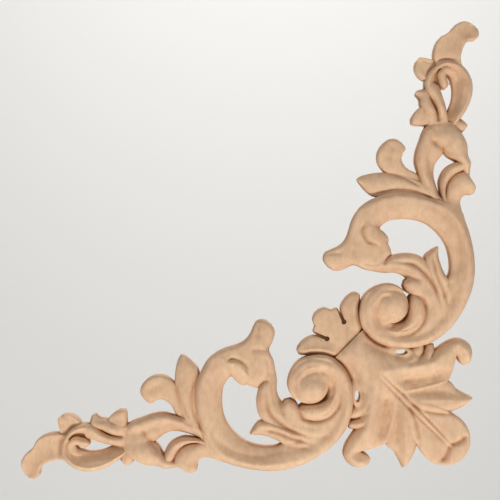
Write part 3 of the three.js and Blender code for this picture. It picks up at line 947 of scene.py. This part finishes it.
def groove_depth(plan, depth, width, points):
    """How deep one crease lies at each plan point, fading out at both of its ends."""
    line = groove_line(points)
    reach = CREASE_WIDTHS * width
    near = np.flatnonzero(((plan > line.min(0) - reach) & (plan < line.max(0) + reach)).all(1))
    depths = np.zeros(len(plan))
    if len(near) == 0:
        return depths
    gaps = np.linalg.norm(plan[near, None] - line[None], axis=2)
    along = gaps.argmin(1) / (len(line) - 1)
    fade = np.clip(CREASE_END_STEEPNESS * np.minimum(along, 1 - along) + CREASE_END_SHARE, 0, 1)
    depths[near] = depth * fade * np.exp(-((gaps.min(1) / width) ** CREASE_POWER))
    return depths


def crease_depths(plan, widest=math.inf):
    """The depth of all creases together at each plan point, up to a width."""
    total = np.zeros(len(plan))
    for depth, width, points in all_grooves():
        if width <= widest:
            total += groove_depth(plan, depth, width, points)
    return total


def refined(mesh):
    """Splits the carved surface's long edges near the creases, so that those come out clean."""
    build = bmesh.new()
    build.from_mesh(mesh)
    for _ in range(REFINE_ROUNDS):
        bmesh.ops.triangulate(build, faces=build.faces[:])
        build.verts.index_update()
        points = drawn(np.array([vert.co for vert in build.verts]))
        depths = crease_depths(points[:, :2], REFINE_WIDEST)
        near = (np.abs(depths) > REFINE_DEPTH) & (points[:, 2] > CARVED_FROM)
        chosen = []
        for edge in build.edges:
            first, second = edge.verts
            if near[first.index] and near[second.index] and edge.calc_length() > REFINE_EDGE:
                chosen.append(edge)
        bmesh.ops.subdivide_edges(build, edges=chosen, cuts=1, use_single_edge=True)
    bmesh.ops.triangulate(build, faces=build.faces[:])
    build.to_mesh(mesh)
    build.free()


def blurred(values, sigma):
    """A grid blurred by a bell curve, whose width is given in cells."""
    rows = np.fft.fftfreq(values.shape[0])[:, None]
    columns = np.fft.rfftfreq(values.shape[1])[None, :]
    gain = np.exp(-2 * (math.pi * sigma) ** 2 * (rows**2 + columns**2))
    return np.fft.irfft2(np.fft.rfft2(values) * gain, values.shape)


def field_places(points):
    """Where points lie in a grid over the whole piece, in cells."""
    return (points[:, :2] - points[:, :2].min(0) + FIELD_MARGIN) / FIELD_CELL


def field_of(places, values):
    """The values' sum in each cell of the grid."""
    cells = places.astype(int)
    field = np.zeros(tuple(places.max(0).astype(int) + round(FIELD_MARGIN / FIELD_CELL)))
    np.add.at(field, tuple(cells.T), values)
    return field


def field_at(field, places):
    """The grid's value at each place, blended from the four cells around it."""
    corner = np.floor(places - 0.5).astype(int)
    share = places - 0.5 - corner
    values = np.zeros(len(places))
    for i in (0, 1):
        for j in (0, 1):
            part = np.abs(1 - i - share[:, 0]) * np.abs(1 - j - share[:, 1])
            values += part * field[corner[:, 0] + i, corner[:, 1] + j]
    return values


def soft_heights(points, carved, reach):
    """The mean height of the carved surface around each point, within a reach in millimetres."""
    places = field_places(points)
    count = field_of(places, carved)
    total = field_of(places, np.where(carved, points[:, 2], 0))
    sigma = reach / FIELD_CELL
    heights = blurred(total / np.maximum(count, 1), sigma)
    heights /= np.maximum(blurred((count > 0).astype(float), sigma), LEAST_COVER)
    return field_at(heights, places)


def inside_share(points, carved, reach):
    """How much of the surroundings of each point the piece covers, within a reach."""
    places = field_places(points)
    cover = blurred((field_of(places, carved) > 0).astype(float), COVER_REACH / FIELD_CELL)
    inside = blurred((cover > COVER_INSIDE).astype(float), reach / FIELD_CELL)
    return np.clip(field_at(inside, places), 0, 1)


def relief_of(points, carved):
    """How high each point stands over its surroundings, with the outlines raised so the painted crease
    shade leaves them pale.
    """
    standing = points[:, 2] - soft_heights(points, carved, RELIEF_REACH)
    standing += RELIEF_AT_OUTLINE * (1 - inside_share(points, carved, RELIEF_REACH))
    return np.where(carved, standing, 0)


def softened(points, carved):
    """Heights evened out a little everywhere, and more where forms grow together."""
    heights = points[:, 2].copy()
    fine = soft_heights(points, carved, FINE_REACH)
    heights += np.where(carved, FINE_SHARE * (fine - heights), 0)
    points = np.column_stack([points[:, :2], heights])
    wide = soft_heights(points, carved, WIDE_REACH)
    share = np.zeros(len(points))
    for a, b, reach, most in all_merges():
        gap = np.hypot(points[:, 0] - a, points[:, 1] - b) / reach
        share = np.maximum(share, most * np.clip(MERGE_STEEPNESS * (1 - gap), 0, 1))
    return heights + np.where(carved, share * (wide - heights), 0)


def applique_object():
    """The carved piece, shown in place of its solid."""
    mesh = carved_mesh()
    refined(mesh)
    points = drawn(vertex_points(mesh))
    carved = points[:, 2] > CARVED_FROM
    points[:, 2] = softened(points, carved)
    points[:, 2] -= np.where(carved, crease_depths(points[:, :2]), 0)
    mesh.vertices.foreach_set("co", placed(points).ravel())
    # The relief sets how much shade is painted into the creases.
    relief = mesh.attributes.new("relief", "FLOAT", "POINT")
    relief.data.foreach_set("value", relief_of(points, carved))
    mesh.shade_smooth()
    mesh.set_sharp_from_angle(angle=math.radians(SHARP_DEGREES))
    mesh.materials.clear()
    mesh.materials.append(bare_wood())
    piece = bpy.data.objects.new("carved_applique", mesh)
    bpy.context.scene.collection.objects.link(piece)
    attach(piece, "root")
    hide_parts("corner_applique")
    return piece


def bare_wood():
    """Pale, fine-grained bare wood, with short pore dashes and shade painted into its creases."""
    material = bpy.data.materials.new("bare_wood")
    material.use_nodes = True
    nodes = material.node_tree.nodes
    links = material.node_tree.links
    shader = nodes["Principled BSDF"]
    shader.inputs["Roughness"].default_value = WOOD_ROUGHNESS
    shader.inputs["Specular IOR Level"].default_value = WOOD_GLOSS
    place = nodes.new("ShaderNodeTexCoord").outputs["Object"]
    pores = noise(nodes, links, place, PORES)
    links.new(wood_colour(nodes, links, place, pores), shader.inputs["Base Color"])
    fine = bumped(nodes, links, pores, PORE_BUMP)
    waves = bumped(nodes, links, noise(nodes, links, place, TOOL_WAVES), TOOL_WAVE_BUMP)
    links.new(fine.outputs["Normal"], waves.inputs["Normal"])
    links.new(waves.outputs["Normal"], shader.inputs["Normal"])
    return material


def wood_colour(nodes, links, place, pores):
    """The wood's colour: broad patches, mottles and pores, and painted shade in the creases."""
    patches = noise(nodes, links, place, PATCHES)
    mottles = noise(nodes, links, place, MOTTLES)
    colour = ramp(nodes, links, patches, PATCH_COLOURS)
    colour = multiplied(nodes, links, colour, ramp(nodes, links, mottles, MOTTLE_COLOURS), 1.0)
    colour = multiplied(nodes, links, colour, ramp(nodes, links, pores, PORE_COLOURS), PORE_SHARE)
    # Painted shade: the carving's low places are darkened as if they lay in shadow.
    creases = ramp(nodes, links, relief_share(nodes, links), PAINTED_CREASE_SHADE_COLOURS)
    return multiplied(nodes, links, colour, creases, 1.0)


def relief_share(nodes, links):
    """How high a place stands over its surroundings, on a scale from 0 to 1."""
    relief = nodes.new("ShaderNodeAttribute")
    relief.attribute_name = "relief"
    share = nodes.new("ShaderNodeMapRange")
    share.inputs["From Min"].default_value = DEEPEST_RELIEF
    share.inputs["From Max"].default_value = HIGHEST_RELIEF
    links.new(relief.outputs["Fac"], share.inputs["Value"])
    return share.outputs["Result"]


def bumped(nodes, links, height, bump):
    """A bump node for a pattern, with its strength and height."""
    strength, distance = bump
    node = nodes.new("ShaderNodeBump")
    node.inputs["Strength"].default_value = strength
    node.inputs["Distance"].default_value = distance
    links.new(height, node.inputs["Height"])
    return node


def noise(nodes, links, place, pattern):
    """Noise in a pattern of turns per metre along each axis and a detail."""
    stretch, detail = pattern
    mapping = nodes.new("ShaderNodeMapping")
    mapping.inputs["Scale"].default_value = stretch
    links.new(place, mapping.inputs["Vector"])
    texture = nodes.new("ShaderNodeTexNoise")
    texture.inputs["Scale"].default_value = 1.0
    texture.inputs["Detail"].default_value = detail
    links.new(mapping.outputs["Vector"], texture.inputs["Vector"])
    return texture.outputs["Fac"]


def ramp(nodes, links, value, stops):
    """A colour ramp through places and colours."""
    node = nodes.new("ShaderNodeValToRGB")
    elements = node.color_ramp.elements
    while len(elements) < len(stops):
        elements.new(1.0)
    for element, (place, colour) in zip(elements, stops):
        element.position = place
        element.color = (*colour, 1)
    links.new(value, node.inputs["Fac"])
    return node.outputs["Color"]


def multiplied(nodes, links, first, second, share):
    """Two colours multiplied by a share."""
    node = nodes.new("ShaderNodeMix")
    node.data_type = "RGBA"
    node.blend_type = "MULTIPLY"
    node.inputs["Factor"].default_value = share
    links.new(first, node.inputs[MIX_FIRST])
    links.new(second, node.inputs[MIX_SECOND])
    return node.outputs[MIX_RESULT]


def plain_surface(name, colour):
    """A matt pale material for the stage."""
    material = bpy.data.materials.new(name)
    material.use_nodes = True
    shader = material.node_tree.nodes["Principled BSDF"]
    shader.inputs["Base Color"].default_value = (*colour, 1)
    shader.inputs["Roughness"].default_value = STAGE_ROUGHNESS
    return material


def stage():
    """A plain pale floor that curves up into a far wall, well clear of the piece."""
    profile = [(FLOOR_START, FLOOR_HEIGHT)]
    profile.append((WALL_DISTANCE - COVE_RADIUS, FLOOR_HEIGHT))
    for step in range(1, COVE_STEPS + 1):
        turn = step / COVE_STEPS * math.pi / 2
        out = WALL_DISTANCE - COVE_RADIUS + COVE_RADIUS * math.sin(turn)
        profile.append((out, FLOOR_HEIGHT + COVE_RADIUS * (1 - math.cos(turn))))
    profile.append((WALL_DISTANCE, WALL_TOP))
    points = []
    for side in (-STAGE_HALF_WIDTH, STAGE_HALF_WIDTH):
        points += [(side, out, up) for out, up in profile]
    count = len(profile)
    faces = [(i, i + 1, count + i + 1, count + i) for i in range(count - 1)]
    mesh = bpy.data.meshes.new("backdrop")
    mesh.from_pydata(points, [], faces)
    mesh.shade_smooth()
    mesh.materials.append(plain_surface("pale_stage", STAGE_COLOUR))
    backdrop = bpy.data.objects.new("backdrop", mesh)
    bpy.context.scene.collection.objects.link(backdrop)


def area_light(name, place, size, power, target):
    """A soft round light, aimed at its target and hidden from the camera."""
    light = bpy.data.lights.new(name, "AREA")
    light.shape = "DISK"
    light.size = size
    light.energy = power
    light.color = LAMP_COLOUR
    lamp = bpy.data.objects.new(name, light)
    lamp.location = place
    aim = Vector(target) - Vector(place)
    lamp.rotation_euler = aim.to_track_quat("-Z", "Y").to_euler()
    lamp.visible_camera = False
    bpy.context.scene.collection.objects.link(lamp)


def lights():
    """A key light from below in front, softer lights from other sides and a pale sky."""
    for name, place, size, power, target in LAMPS:
        area_light(name, place, size, power, target)
    world = bpy.data.worlds.new("sky")
    world.use_nodes = True
    background = world.node_tree.nodes["Background"]
    background.inputs["Color"].default_value = (*SKY_COLOUR, 1)
    background.inputs["Strength"].default_value = SKY_STRENGTH
    bpy.context.scene.world = world


def camera():
    """A camera straight in front, with the piece filling the frame."""
    lens = bpy.data.cameras.new("camera")
    lens.lens = LENS
    lens.sensor_width = SENSOR
    eye = bpy.data.objects.new("camera", lens)
    width = max(HIGH.x - LOW.x, HIGH.z - LOW.z) / FRAME_SHARE
    distance = width / 2 / (SENSOR / 2 / LENS)
    eye.location = (MIDDLE.x, LOW.y - distance, MIDDLE.z)
    eye.rotation_euler = (math.pi / 2, 0, 0)
    bpy.context.scene.collection.objects.link(eye)
    bpy.context.scene.camera = eye


applique_object()
stage()
lights()
camera()
bpy.context.scene.view_settings.view_transform = "Standard"
